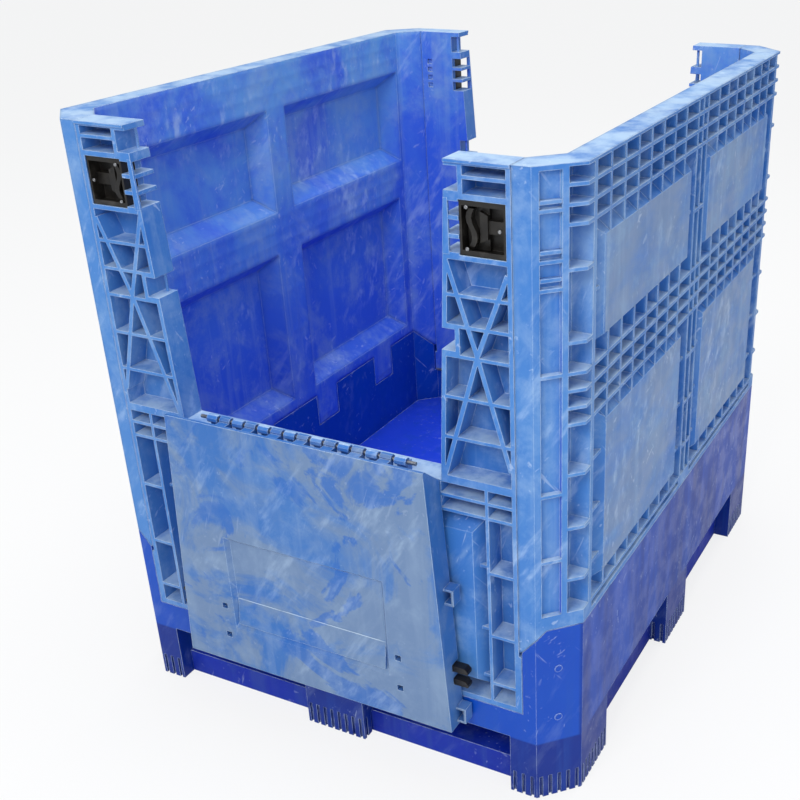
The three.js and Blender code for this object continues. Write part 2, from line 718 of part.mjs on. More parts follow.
// An upright plate from p to q in the plane of the wall, as (x, z) points.
function strut(p, q, thickness, y) {
  const run = Math.hypot(q[0] - p[0], q[1] - p[1]);
  const geometry = new THREE.BoxGeometry(run, y[1] - y[0], thickness);
  geometry.rotateY(-Math.atan2(q[1] - p[1], q[0] - p[0]));
  geometry.translate((p[0] + q[0]) / 2, (y[0] + y[1]) / 2, (p[1] + q[1]) / 2);
  return solid(geometry);
}

const ribDepth = [front - OUTSIDE, innerFace - SKIN];

// The open truss of one post, at +X: cells between the struts of an X and the cross ribs.
function postTruss() {
  const low = SILL + TRUSS_FOOT;
  const high = POCKET_LOW - EDGE_RIB;
  const outer = POST_EDGE - EDGE_RIB;
  const region = [
    [openingHalf(low) + EDGE_RIB, low],
    [outer, low],
    [outer, high],
    [openingHalf(high) + EDGE_RIB, high],
  ];
  const notch = NOTCHES[1];
  const cross = { x: POST_EDGE - TRUSS_CROSS, z: notch.low - EDGE_RIB / 2 };
  const stay = [
    strut([openingHalf(high) + EDGE_RIB / 2, high], [cross.x, cross.z], EDGE_RIB, ribDepth),
    strut([outer, high - ROW_PITCH / 2], [cross.x, cross.z], EDGE_RIB, ribDepth),
    strut([openingHalf(low) + EDGE_RIB, low], [cross.x, cross.z], EDGE_RIB, ribDepth),
    strut([outer, low + ROW_PITCH], [cross.x, cross.z], EDGE_RIB, ribDepth),
  ];
  const below = split(low, notch.low - EDGE_RIB, (TRUSS_LEDGES + 1) / 2, 0).map(([z]) => z).slice(1);
  const ledges = [(high + notch.high) / 2, notch.high + RIB, notch.low - EDGE_RIB, ...below];
  for (const z of ledges) stay.push(strut([OPEN_SILL_HALF, z], [outer + 1, z], RIB, ribDepth));
  const notchWall = openingHalf(notch.low) + NOTCH_DEPTH + EDGE_RIB;
  stay.push(box([OPEN_SILL_HALF, notchWall], ribDepth, [notch.low - EDGE_RIB, notch.high + RIB]));
  return prism(region, "y", ribDepth[0], ribDepth[1]).subtract(join(stay));
}

function lowerWall(bottom) {
  const cuts = [];
  const outer = COLUMN_EDGE - SEAM - EDGE_RIB - COLUMN_STEP;
  const shelves = [SILL - RIB, SILL - RIB / 2 - 24, SILL - RIB / 2 - 52];
  const panelTop = shelves[2];
  const ties = [SILL - 162, SILL - 291, SILL - 394].filter((z) => z > bottom + 2 * ROW_PITCH / 1.2);
  const lines = [bottom + EDGE_RIB, ...[...ties].reverse(), panelTop];
  for (const hand of [-1, 1]) {
    const span = (a, b) => [hand * a, hand * b].sort((p, q) => p - q);
    for (const z of levels([...lines, shelves[1], shelves[0] + RIB], RIB)) {
      cuts.push(box(span(MULLION + RIB / 2, outer), ribDepth, z));
    }
    for (const [a, b] of split(PILLOW_GAP / 2, MULLION - RIB / 2, 4, RIB)) {
      for (const z of levels([panelTop, shelves[1], shelves[0] + RIB], RIB)) {
        cuts.push(box(span(a, b), ribDepth, z));
      }
    }
    // One raised pillow, tapering down to the sheet.
    const field = { u: span(PILLOW_GAP / 2, MULLION - RIB / 2), v: [bottom + EDGE_RIB + RIB / 2, panelTop - RIB / 2] };
    const near = grow(field, -PAD_SIDE_RAMP, -PAD_SIDE_RAMP, -PAD_LOW_RAMP, -PAD_TOP_RAMP);
    const stay = [taper(intoWall, near, SKIN, field, WALL - SKIN)];
    for (const z of ties) stay.push(strut([field.u[0], z], [field.u[1], z], RIB, [front + WALL / 3, innerFace]));
    const sunk = box(field.u, ribDepth, field.v);
    cuts.push(sunk.subtract(join(stay)));
    const hollow = grow(near, -SKIN, -SKIN, -SKIN, -SKIN);
    cuts.push(taper(intoWall, hollow, 2 * SKIN, grow(hollow, PAD_SIDE_RAMP, PAD_SIDE_RAMP, PAD_LOW_RAMP, PAD_TOP_RAMP), WALL + 0.5));
  }
  return cuts;
}

const intoWall = (depth, x, z) => [x, front + depth, z];

function postCuts() {
  const cuts = [postTruss()];
  const outer = POST_EDGE - EDGE_RIB;
  const notch = NOTCHES[0];
  const inner = openingHalf(notch.high) + NOTCH_DEPTH + RIB;
  for (const z of levels([notch.low - RIB, (notch.low + notch.high) / 2 + RIB / 2, HEIGHT - TOP_LIP], RIB)) {
    cuts.push(box([inner, outer], ribDepth, z));
  }
  for (const { low, high } of NOTCHES) {
    cuts.push(box([0, openingHalf(low) + NOTCH_DEPTH], [front - OUTSIDE, innerFace + OUTSIDE], [low, high]));
  }
  // Pocket for the wall latch, and the comb whose slots take the prongs of the door's catch.
  cuts.push(
    box([trayEdges.x[0] - SEAT, trayEdges.x[1] + SEAT], [front - OUTSIDE, front + POCKET_DEPTH], [POCKET_LOW, POCKET_HIGH]),
  );
  for (const z of combSlots) {
    cuts.push(box([0, combStart + COMB_WIDTH - SEAT / 2], [front - OUTSIDE, innerFace + OUTSIDE], z));
  }
  const bolt = boltBox(SEAM);
  cuts.push(box([trayEdges.x[1] - OUTSIDE, END_HALF + OUTSIDE], [-bolt.y[1], -bolt.y[0]], bolt.z));
  const slotX = POST_EDGE - INNER_SLOT_OUT;
  for (const z of split(POCKET_LOW + EDGE_RIB, POCKET_HIGH - EDGE_RIB, INNER_SLOTS, EDGE_RIB)) {
    const x = [slotX - INNER_SLOT_WIDTH / 2, slotX + INNER_SLOT_WIDTH / 2];
    cuts.push(box(x, [innerFace - SKIN, innerFace + OUTSIDE], z));
  }
  return cuts;
}

const combSlots = levels(
  [POCKET_LOW, ...split(POCKET_LOW, POCKET_HIGH, 3, 0).map(([, high]) => high)],
  COMB_TOOTH,
);

const mirror = (body) => body.mirror([1, 0, 0]);
const doorAxis = [front - DOOR_AXIS_OUT, SILL + DOOR_AXIS_RISE];
const doorKnuckles = Array.from({ length: DOOR_KNUCKLES }, (_, k) => (k - (DOOR_KNUCKLES - 1) / 2) * DOOR_KNUCKLE_PITCH);

function makeEndWall(rim) {
  const bottom = rim + SEAM;
  // The wide foot is low enough to swing under the side wall's flange.
  const reach = SHOULDER_LOW - rim - HINGE_RISE;
  const wideTop = rim + HINGE_RISE + Math.sqrt(reach ** 2 - (WALL + HINGE_OUT) ** 2);
  const outline = [
    [COLUMN_EDGE - SEAM, bottom],
    [COLUMN_EDGE - SEAM, wideTop],
    [POST_EDGE, wideTop],
    [POST_EDGE, HEIGHT],
    [OPEN_TOP_HALF, HEIGHT],
    [OPEN_SILL_HALF, SILL],
  ];
  const whole = [...outline, ...[...outline].reverse().map(([x, z]) => [-x, z])];
  let body = prism(whole, "y", front, innerFace);
  const cuts = join(postCuts());
  body = body.subtract(cuts).subtract(mirror(cuts)).subtract(join(lowerWall(bottom)));

  const lip = box([OPEN_TOP_HALF, POST_EDGE], [front - RIB / 2, front], [HEIGHT - TOP_LIP, HEIGHT]);
  const pins = NOTCHES.map(({ low, high }) =>
    rod("z", NOTCH_PIN_RADIUS, low - 1, high + 1, openingHalf(low) + NOTCH_DEPTH / 2, innerFace - 2 * SKIN),
  );
  const posts = join([lip, ...pins]);
  body = body.add(posts).add(mirror(posts));

  // Hinge to the base, along the inner lower edge.
  const [y, z] = hingeLine(-1, rim);
  body = body.subtract(join(knuckleRoom(-1, rim, false)));
  const knuckles = endKnuckles().map((middle) => {
    const ends = [middle - END_KNUCKLE_WIDTH / 2, middle + END_KNUCKLE_WIDTH / 2];
    const arm = box(ends, [y - 2 * HINGE_OUT, y], [z, z + 3 * KNUCKLE_RADIUS]);
    return rod("x", KNUCKLE_RADIUS, ends[0], ends[1], y, z).add(arm);
  });
  body = body.add(join(knuckles)).subtract(rod("x", BORE_RADIUS, -END_HALF, END_HALF, y, z));

  // Hinge to the door, along the sill.
  const arms = doorKnuckles.map((middle) => {
    const ends = [middle - DOOR_KNUCKLE_WIDTH / 2, middle + DOOR_KNUCKLE_WIDTH / 2];
    const arm = box(ends, [doorAxis[0] + DOOR_AXIS_OUT, doorAxis[0] + 14], [SILL - 1, doorAxis[1]]);
    return rod("x", KNUCKLE_RADIUS, ends[0], ends[1], doorAxis[0], doorAxis[1]).add(arm);
  });
  const doorRodHalf = (DOOR_KNUCKLES * DOOR_KNUCKLE_PITCH) / 2 + OUTSIDE;
  return body.add(join(arms)).subtract(rod("x", BORE_RADIUS, -doorRodHalf, doorRodHalf, doorAxis[0], doorAxis[1]));
}

// Door, drawn closed in the front wall

function makeDoor() {
  const low = doorAxis[1] - DOOR_AXIS_RISE + DOOR_GAP;
  const high = HEIGHT - DOOR_TOP_DROP;
  const half = (z) => openingHalf(z) - DOOR_GAP;
  const outline = [
    [-half(low), low],
    [half(low), low],
    [half(high), high],
    [-half(high), high],
  ];
  let body = prism(outline, "y", front, innerFace);
  // The hinge edge slopes, so that the door turns past the sill.
  const slope = [
    [front - OUTSIDE, low - OUTSIDE],
    [innerFace - SKIN, low - OUTSIDE],
    [innerFace - SKIN, low],
    [front, low + DOOR_CHAMFER],
    [front - OUTSIDE, low + DOOR_CHAMFER],
  ];
  body = body.subtract(prism(slope, "x", -HALF_X, HALF_X));

  // Ribbed outer side.
  const rows = split(low + DOOR_CHAMFER + EDGE_RIB, high - EDGE_RIB, 6, RIB);
  const cuts = [];
  rows.forEach((z, row) => {
    const edge = half(z[0]) - EDGE_RIB;
    const columns = split(-edge, edge, 8, RIB);
    columns.forEach((x, column) => {
      const atCatch = z[1] > POCKET_LOW && z[0] < POCKET_HIGH && (column === 0 || column === 7);
      if (!atCatch) cuts.push(box(x, [front - OUTSIDE, innerFace - SKIN - PANEL_DEPTH], z));
    });
  });
  // Shallow panel and square holes in the inner side.
  const panel = { u: [-PANEL_HALF, PANEL_HALF], v: [high - PANEL_DROPS[1], high - PANEL_DROPS[0]] };
  const floorOfPanel = grow(panel, -PANEL_DEPTH, -PANEL_DEPTH, -PANEL_DEPTH, -2 * PANEL_DEPTH);
  cuts.push(taper(intoWall, floorOfPanel, WALL - PANEL_DEPTH, panel, WALL + 0.01));
  for (const x of [-PANEL_HALF - SQUARE_HOLE_OUT, PANEL_HALF + SQUARE_HOLE_OUT]) {
    for (const drop of SQUARE_HOLE_DROPS) {
      const z = high - drop;
      const side = SQUARE_HOLE / 2;
      cuts.push(box([x - side, x + side], [innerFace - SKIN - PANEL_DEPTH - 1, innerFace + 1], [z - side, z + side]));
    }
  }
  body = body.subtract(join(cuts));

  // Bosses at both edges, which stand in the notches of the posts.
  const bosses = NOTCHES.flatMap(({ low: from, high: to }) => {
    const z = [from + DOOR_GAP / 2, to - DOOR_GAP / 2];
    const edge = half(from);
    const out = openingHalf(from) + BOSS_OUT - RIB;
    const shell = box([edge - EDGE_RIB, out], [front, front + BOSS_DEPTH], z);
    const hole = box([edge, out - BOSS_WALL], [front + BOSS_WALL, front + BOSS_DEPTH + 1], [z[0] + BOSS_WALL, z[1] - BOSS_WALL]);
    const boss = shell.subtract(hole);
    return [boss, mirror(boss)];
  });
  body = body.add(join(bosses));

  // Room for the catches, open to the ribbed side, with two slots through the edge rib.
  const edge = half(pocketMiddle);
  const room = [
    box([edge - EDGE_RIB - CATCH_BODY - PRONG_TRAVEL - 2, edge - EDGE_RIB], catchDepth(SEAT), catchHeight(SEAT + 1)),
    ...prongHeights.map((z) => box([edge - EDGE_RIB - 1, edge + EDGE_RIB], catchDepth(SEAT), [z - PRONG_HEIGHT / 2 - SEAM, z + PRONG_HEIGHT / 2 + SEAM])),
  ];
  const rooms = join(room);
  body = body.subtract(rooms).subtract(mirror(rooms));

  // Hinge knuckles between those of the wall.
  const turnRoom = doorKnuckles.map((middle) => {
    const reach = DOOR_KNUCKLE_WIDTH / 2 + KNUCKLE_GAP;
    return box([middle - reach, middle + reach], [front - OUTSIDE, doorAxis[0] + 14 + KNUCKLE_GAP], [low - OUTSIDE, doorAxis[1] + KNUCKLE_RADIUS + KNUCKLE_GAP]);
  });
  const own = doorKnuckles.slice(0, -1).map((middle) => {
    const x = middle + DOOR_KNUCKLE_PITCH / 2;
    const ends = [x - DOOR_KNUCKLE_WIDTH / 2, x + DOOR_KNUCKLE_WIDTH / 2];
    const arm = box(ends, [doorAxis[0], innerFace - SKIN], [doorAxis[1], low + DOOR_CHAMFER + EDGE_RIB]);
    return rod("x", KNUCKLE_RADIUS, ends[0], ends[1], doorAxis[0], doorAxis[1]).add(arm);
  });
  body = body.add(join(own)).subtract(join(turnRoom));
  return body.subtract(rod("x", BORE_RADIUS, -HALF_X, HALF_X, doorAxis[0], doorAxis[1]));
}

// Latches

const prongHeights = combSlots.slice(0, 2).map(([low, high]) => (low + high) / 2);
const catchDepth = (clearance) => [front - (clearance ? OUTSIDE : -RIB), front + RIB + PRONG_DEPTH + 2 * clearance];
const catchHeight = (clearance) => [
  prongHeights[0] - PRONG_HEIGHT / 2 - RIB - clearance,
  prongHeights[1] + PRONG_HEIGHT / 2 + RIB + clearance,
];

// Black tray in a post, at +X.
function makeTray() {
  const { x, z } = trayEdges;
  const inside = { x: [x[0] + TRAY_WALL, x[1] - TRAY_WALL], z: [z[0] + TRAY_WALL, z[1] - TRAY_WALL] };
  const lip = { x: inside.x, z: [inside.z[0] + TRAY_WALL, inside.z[1] - TRAY_WALL] };
  const faceLip = front + SKIN;
  const bolt = boltBox(SEAT);
  return box(x, [front + 2, trayBack], z)
    .subtract(box(inside.x, [faceLip, trayFloor], inside.z))
    .subtract(box(lip.x, [front - OUTSIDE, faceLip + 1], lip.z))
    .subtract(box([inside.x[1] - 1, x[1] + 1], [-bolt.y[1], -bolt.y[0]], bolt.z));
}

// The slider in the tray: a plate with a wavy finger ridge, a wedge, and the bolt.
function makeSlider() {
  const { x, z } = trayEdges;
  const left = x[0] + TRAY_WALL + SEAM;
  const plate = { x: [left, left + SLIDER_WIDTH], z: [z[0] + TRAY_WALL + SEAM, z[1] - TRAY_WALL - SEAM] };
  const back = trayFloor - SEAT;
  const bolt = boltBox(0);
  const ridge = new THREE.Shape();
  const middle = left + SLIDER_WIDTH * 0.35;
  const swing = 5;
  const half = 4.5;
  const steps = 8;
  const wave = (t) => middle + swing * Math.sin(t * 2 * Math.PI);
  const span = [plate.z[0] + 2 * TRAY_WALL, plate.z[1] - 2 * TRAY_WALL];
  const points = [];
  for (let k = 0; k <= steps; k += 1) points.push([wave(k / steps) - half, span[0] + ((span[1] - span[0]) * k) / steps]);
  for (let k = steps; k >= 0; k -= 1) points.push([wave(k / steps) + half, span[0] + ((span[1] - span[0]) * k) / steps]);
  ridge.setFromPoints(points.map(([a, b]) => new THREE.Vector2(a, b)));
  const wedge = [
    [middle + swing + half + 1, pocketMiddle - 24],
    [plate.x[1], pocketMiddle - 18],
    [plate.x[1], pocketMiddle + 18],
    [middle + swing + half + 1, pocketMiddle + 24],
  ];
  const boltDepth = [-bolt.y[1], -bolt.y[0]];
  return box(plate.x, [back - 7, back], plate.z)
    .add(prism(points, "y", front + SKIN + 1, back - 6))
    .add(prism(wedge, "y", boltDepth[0] - 4, back - 6))
    .add(box([plate.x[1] - RIB, POST_EDGE - SEAM], boltDepth, bolt.z));
}

// The door's catch: a block with two prongs, drawn at its place in the closed door.
function makeCatch() {
  const edge = openingHalf(pocketMiddle) - DOOR_GAP;
  const body = [edge - EDGE_RIB - CATCH_BODY - SEAT, edge - EDGE_RIB - SEAT];
  const y = catchDepth(0);
  const tip = edge + PRONG_OUT;
  const prongs = prongHeights.map((z) => {
    const outline = [
      [body[1] - 1, z - PRONG_HEIGHT / 2],
      [tip - PRONG_HEIGHT / 2, z - PRONG_HEIGHT / 2],
      [tip, z],
      [tip, z + PRONG_HEIGHT / 2],
      [body[1] - 1, z + PRONG_HEIGHT / 2],
    ];
    return prism(outline, "y", y[0], y[1]);
  });
  return box(body, y, catchHeight(0)).add(join(prongs));
}

// Assembly

const container = new THREE.Group();
container.add(mesh("base", makeBase(), colours.base));
container.add(mesh("skid_frame", skidFrame(0), colours.skid, 0.7));

const sideWall = makeSideWall();
const sidePin = sideRod(1, ROD_RADIUS, sideRodHalf);
for (const [name, turn] of [["right", 0], ["left", Math.PI]]) {
  const wall = mesh(`side_wall_${name}`, sideWall, colours.wall);
  const pin = mesh(`side_hinge_rod_${name}`, sidePin, colours.rod, 0.4, 0.9);
  for (const piece of [wall, pin]) {
    piece.rotation.z = turn;
    container.add(piece);
  }
}

const door = makeDoor();
const tray = makeTray();
const slider = makeSlider();
const catchPiece = makeCatch();
const doorRodHalf = (DOOR_KNUCKLES * DOOR_KNUCKLE_PITCH) / 2;
for (const [name, rim, turn] of [["front", FRONT_RIM, 0], ["rear", REAR_RIM, Math.PI]]) {
  const end = new THREE.Group();
  const [y, z] = hingeLine(-1, rim);
  end.add(mesh(`${name}_wall`, makeEndWall(rim), colours.wall));
  end.add(mesh(`${name}_hinge_rod`, rod("x", ROD_RADIUS, -END_HALF + SEAM, END_HALF - SEAM, y, z), colours.rod, 0.4, 0.9));
  end.add(mesh(`${name}_door_rod`, rod("x", ROD_RADIUS, -doorRodHalf, doorRodHalf, doorAxis[0], doorAxis[1]), colours.rod, 0.4, 0.9));
  // Right is +X at both ends, and the rear end is turned half round.
  const put = (hand, body) => ((hand === "right") === (turn === 0) ? body : mirror(body));
  for (const hand of ["right", "left"]) {
    end.add(mesh(`${name}_latch_tray_${hand}`, put(hand, tray), colours.latch));
    end.add(mesh(`${name}_latch_${hand}`, put(hand, slider), colours.latch));
  }
  // The open door hangs outside the wall, turned half round about its hinge.
  const hung = new THREE.Group();
  hung.position.set(0, doorAxis[0], doorAxis[1]);
  hung.rotation.x = Math.PI;
  const inDoor = new THREE.Group();
  inDoor.position.set(0, -doorAxis[0], -doorAxis[1]);
  inDoor.add(mesh(`${name}_door`, door, colours.door));
  inDoor.add(mesh(`${name}_door_catch_right`, put("right", catchPiece), colours.latch));
  inDoor.add(mesh(`${name}_door_catch_left`, put("left", catchPiece), colours.latch));
  hung.add(inDoor);
  end.add(hung);
  end.rotation.z = turn;
  container.add(end);
}

export default container;
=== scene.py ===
"""Dresses the collapsible bulk container: scuffed moulded plastic, black latches, soft studio light."""

import math
import random

import bmesh
import bpy
from mathutils import Matrix, Vector


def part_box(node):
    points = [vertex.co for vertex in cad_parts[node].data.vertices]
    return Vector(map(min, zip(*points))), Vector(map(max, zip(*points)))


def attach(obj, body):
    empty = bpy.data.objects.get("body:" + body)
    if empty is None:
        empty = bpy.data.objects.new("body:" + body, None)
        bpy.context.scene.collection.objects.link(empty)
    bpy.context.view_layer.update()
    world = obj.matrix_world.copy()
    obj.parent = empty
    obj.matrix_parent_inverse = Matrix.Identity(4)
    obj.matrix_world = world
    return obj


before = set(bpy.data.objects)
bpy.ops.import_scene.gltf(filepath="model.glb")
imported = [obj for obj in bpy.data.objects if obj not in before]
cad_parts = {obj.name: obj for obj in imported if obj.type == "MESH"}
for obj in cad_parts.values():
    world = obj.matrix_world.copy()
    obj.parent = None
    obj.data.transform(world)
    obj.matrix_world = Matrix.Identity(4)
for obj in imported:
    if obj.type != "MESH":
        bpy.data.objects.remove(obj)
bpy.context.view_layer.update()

random.seed(7)

MM = 0.001

# The photograph's camera, fitted to the footprint: millimetres, degrees, pixels of an 800 px frame.
CAMERA_AT = (1104.2, -2010.2, 1545.5)
AZIMUTH, ELEVATION, ROLL = 26.01, 26.56, -0.87
FOCAL_PX, CENTRE_PX, FRAME_PX = 1134.7, (520.6, 425.8), 800
SENSOR = 36.0
VIEW_END = 60

# Studio. The floor lies just under the feet.
FLOOR_HALF, FLOOR_DROP = 30, 0.0005
FLOOR_COLOUR = (0.86, 0.87, 0.88, 1)
FLOOR_LIFT = 0.8  # share of white in what the camera sees of the floor; the rest keeps the shadow
SKY_COLOUR, SKY_STRENGTH = (0.93, 0.96, 1.0, 1), 0.6
# Name, place, target, side, watts, colour.
LAMPS = (
    ("key", (0.2, -3.9, 3.8), (0, 0, 0.6), 1.8, 102, (1, 0.98, 0.95)),
    ("fill", (2.9, -3.0, 2.2), (0.2, -0.2, 0.5), 2.5, 32, (1, 1, 1)),
    ("top", (0.3, 0.8, 4.6), (0, 0, 0.3), 3.0, 85, (1, 1, 1)),
)

# Places that the finishes follow, in metres.
FLOOR_TOP = 0.16
BAND_TOP = 0.128  # top of the strip of painted shade at the bottom, which takes in the feet
FLANK_X = (0.494, 0.498)  # where the base's long sides begin
PAD_X = (0.4965, 0.4985)  # the outer pads lie beyond this
PAD_AWAY = ((0.05, 0.056), (0.462, 0.468))  # ends of a pad, out from the middle
PAD_ROWS = (((0.874, 0.878), (1.04, 1.044)), ((0.427, 0.431), (0.724, 0.729)))
HAZE_HEIGHTS = (0.45, 1.15)  # the inner side is hazier upwards

# Places of the small pieces, in metres.
ENDS = (("front", -1), ("rear", 1))
WALL_FACE_Y = 0.6
BEVEL_START = 0.438  # where the bevelled corner leaves the wall's face
SCREW_PLACES = ((0.3325, 1.0965), (0.3325, 1.0335), (0.3865, 1.0655))
DIMPLE_HEIGHTS = (0.18, 0.287)
DIMPLE_IN = 0.042  # from the corner's edge, along the bevel
DIMPLE_RIM, DIMPLE_DISH = 0.0075, 0.0052
# The second rib of each pair in the bevel's recess: heights, half thickness, and how it lies along
# the bevel and under its face.
PAIR_HEIGHTS = (1.112, 1.038, 0.996)
PAIR_HALF = 0.003
PAIR_RUN, PAIR_SINK = (0.0125, 0.0465), (0.0006, 0.0088)
# The comb beside each latch pocket: its heights, its outer edge at each of them, and its inner edge.
COMB_HEIGHTS = (1.022, 1.108)
COMB_EDGE = (0.2909, 0.2958)
COMB_INNER = 0.3030
COMB_FACES = (WALL_FACE_Y + 0.0003, WALL_FACE_Y - 0.0035)
# The slope in each hanging door's panel: half its length, and its (out from the middle, height).
LEDGE_HALF = 0.163
LEDGE_SLOPE = ((0.6438, 0.300), (0.6518, 0.243), (0.6438, 0.2375))

# Wear on the moulded pieces, with painted highlights on their edges and painted shade in their hollows.
EDGE_RADIUS, PAD_FILLET = 0.0021, 0.016
# The first is the strength of the pale worn edges, which are also their painted highlight.
EDGE_WEAR_AND_HIGHLIGHT, HAZE = 0.8, 0.35
# How far the painted shade reaches into corners and pockets.
HOLLOW_REACH = 0.05
MOULDED_SPECULAR = 0.26
# Directions, in radians, of the scratches (with their fineness) and of the rubbed marks.
SCRATCHES = (((0.5, 0.9, 0.9), 95.0), ((-0.6, 1.9, 0.2), 120.0), ((1.3, -0.5, 1.2), 80.0))
RUBBED = ((0.4, 0.75, 1.1), (-0.9, 2.2, 0.4))

# Where a mask that follows a normal sets in and is full.
UPWARD, FLOORWARD = (0.75, 0.95), (0.8, 0.95)
INWARD, OUTERMOST, SHOWN = (-0.35, -0.1), (0.9, 0.97), (0.5, 0.8)


def srgb(red, green, blue):
    """An 8-bit display colour as linear light."""

    def linear(value):
        value /= 255
        return value / 12.92 if value <= 0.04045 else ((value + 0.055) / 1.055) ** 2.4

    return (linear(red), linear(green), linear(blue), 1.0)


# The third tone paints worn edges and their highlights.
SCRATCH_TONE, VEIL_TONE, EDGE_WEAR_HIGHLIGHT_TONE = srgb(216, 229, 246), srgb(205, 227, 248), srgb(218, 238, 255)
# A tint multiplied in as painted shade in corners and pockets.
HOLLOW_SHADE_TINT = (0.42, 0.48, 0.66, 1)
# The first tone is a painted highlight on upward faces, in dusty patches.
TOP_HIGHLIGHT_TONE, PAD_TONE = srgb(164, 192, 222), srgb(111, 137, 178)
INNER_TONE, INNER_HAZE_TONE = srgb(60, 105, 222), srgb(98, 157, 224)
# The first and last tones are painted shade: on the long sides in streaks, and over the bottom strip
# with the feet.
FLANK_SHADE_TONE, FLOOR_TONE, BAND_SHADE_TONE = srgb(6, 36, 120), srgb(36, 73, 214), srgb(5, 42, 134)
DOOR_GREY, DOOR_BLUE = srgb(104, 130, 167), srgb(36, 98, 180)


# Camera, floor and light


def make_camera():
    azimuth, elevation, roll = (math.radians(v) for v in (AZIMUTH, ELEVATION, ROLL))
    level = math.cos(elevation)
    back = Vector((math.sin(azimuth) * level, -math.cos(azimuth) * level, math.sin(elevation)))
    right = (-back).cross(Vector((0, 0, 1))).normalized()
    up = right.cross(-back)
    turned_right = math.cos(roll) * right + math.sin(roll) * up
    turned_up = -math.sin(roll) * right + math.cos(roll) * up
    data = bpy.data.cameras.new("camera")
    data.sensor_width = SENSOR
    data.lens = SENSOR * FOCAL_PX / FRAME_PX
    data.shift_x = (FRAME_PX / 2 - CENTRE_PX[0]) / FRAME_PX
    data.shift_y = (CENTRE_PX[1] - FRAME_PX / 2) / FRAME_PX
    data.clip_end = VIEW_END
    camera = bpy.data.objects.new("camera", data)
    axes = Matrix((turned_right, turned_up, back)).transposed().to_4x4()
    axes.translation = Vector(CAMERA_AT) * MM
    camera.matrix_world = axes
    bpy.context.collection.objects.link(camera)
    bpy.context.scene.camera = camera


def area_light(name, place, target, side, power, colour):
    data = bpy.data.lights.new(name, "AREA")
    data.shape = "RECTANGLE"
    data.size = data.size_y = side
    data.energy = power
    data.color = colour
    light = bpy.data.objects.new(name, data)
    light.location = place
    light.rotation_euler = (Vector(target) - Vector(place)).to_track_quat("-Z", "Y").to_euler()
    bpy.context.collection.objects.link(light)


def white_to_camera(tree, lit, white, output, share=1.0):
    """The camera sees this share of white in place of the lit surface or sky; lamps and object don't."""
    seen = tree.nodes.new("ShaderNodeLightPath").outputs["Is Camera Ray"]
    factor = tree.nodes.new("ShaderNodeMath")
    factor.operation = "MULTIPLY"
    tree.links.new(seen, factor.inputs[0])
    factor.inputs[1].default_value = share
    blend = tree.nodes.new("ShaderNodeMixShader")
    for source, socket in ((factor, blend.inputs[0]), (lit, blend.inputs[1]), (white, blend.inputs[2])):
        tree.links.new(source.outputs[0], socket)
    tree.links.new(blend.outputs[0], tree.nodes[output].inputs["Surface"])


def make_studio():
    bpy.context.scene.view_settings.view_transform = "Standard"
    mesh = bpy.data.meshes.new("floor")
    corners = [(x * FLOOR_HALF, y * FLOOR_HALF, 0) for x, y in ((-1, -1), (1, -1), (1, 1), (-1, 1))]
    mesh.from_pydata(corners, [], [(0, 1, 2, 3)])
    floor = bpy.data.objects.new("floor", mesh)
    floor.location.z = -FLOOR_DROP
    bpy.context.collection.objects.link(floor)
    material = bpy.data.materials.new("floor_white")
    material.use_nodes = True
    tree = material.node_tree
    shader = tree.nodes["Principled BSDF"]
    shader.inputs["Base Color"].default_value = FLOOR_COLOUR
    shader.inputs["Roughness"].default_value = 0.7
    glow = tree.nodes.new("ShaderNodeEmission")
    white_to_camera(tree, shader, glow, "Material Output", FLOOR_LIFT)
    mesh.materials.append(material)

    world = bpy.data.worlds.new("studio")
    world.use_nodes = True
    tree = world.node_tree
    sky = tree.nodes["Background"]
    sky.inputs["Color"].default_value = SKY_COLOUR
    sky.inputs["Strength"].default_value = SKY_STRENGTH
    white = tree.nodes.new("ShaderNodeBackground")
    white.inputs["Color"].default_value = (1, 1, 1, 1)
    white_to_camera(tree, sky, white, "World Output")
    bpy.context.scene.world = world
    for lamp in LAMPS:
        area_light(*lamp)


# Finishes


